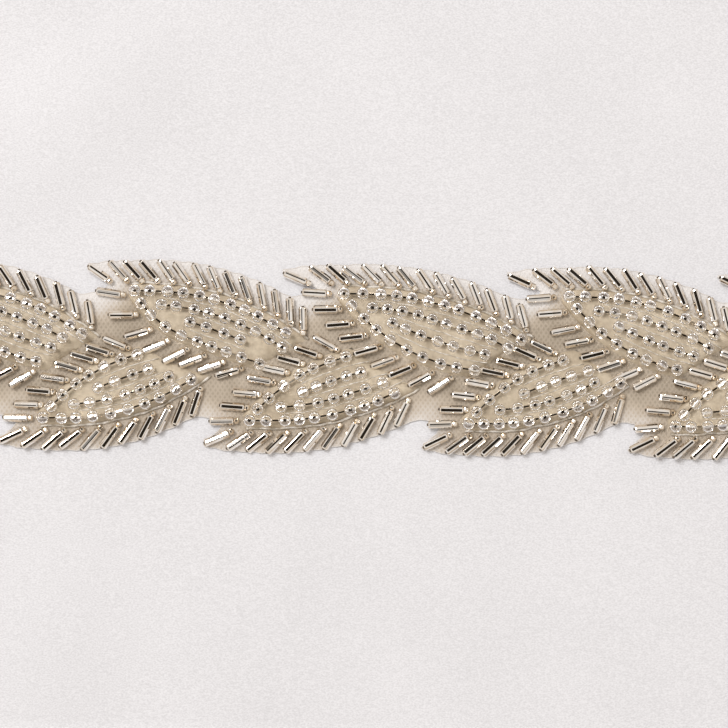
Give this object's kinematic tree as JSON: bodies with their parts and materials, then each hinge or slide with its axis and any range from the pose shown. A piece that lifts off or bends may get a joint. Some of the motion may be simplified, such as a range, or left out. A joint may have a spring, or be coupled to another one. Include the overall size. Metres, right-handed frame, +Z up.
{
  "type": "bridal sash",
  "caption": "Wide white satin bridal sash laid flat, with a braid of overlapping beaded leaves sewn along its middle on a net backing.",
  "frame": {"origin": "the middle of the sash's underside, on the surface that it lies on", "axes": "+X along the sash, the way the leaves point; +Y across it, towards the top edge of the picture; +Z up"},
  "size_m": [2.3, 0.208, 0.0056],
  "materials": {
    "satin": "white satin with a soft sheen",
    "net": "fine ivory net",
    "beaded_leaf": "silver-lined glass beads sewn over a cream pad",
    "leaf_pad": "smooth cream padding",
    "bead_glass": "clear glass",
    "bead_silver": "silver lining of a bead",
    "bead_champagne": "champagne seed bead",
    "thread": "white sewing thread"
  },
  "bodies": {
    "root": {"satin_band": "satin", "net_backing": "net", "leaf_upper_1": "beaded_leaf", "leaf_upper_2": "beaded_leaf", "leaf_upper_3": "beaded_leaf", "leaf_upper_4": "beaded_leaf", "leaf_upper_5": "beaded_leaf", "leaf_upper_6": "beaded_leaf", "leaf_upper_7": "beaded_leaf", "leaf_upper_8": "beaded_leaf", "leaf_lower_1": "beaded_leaf", "leaf_lower_2": "beaded_leaf", "leaf_lower_3": "beaded_leaf", "leaf_lower_4": "beaded_leaf", "leaf_lower_5": "beaded_leaf", "leaf_lower_6": "beaded_leaf", "leaf_lower_7": "beaded_leaf", "leaf_lower_8": "beaded_leaf"}
  },
  "joints": []
}
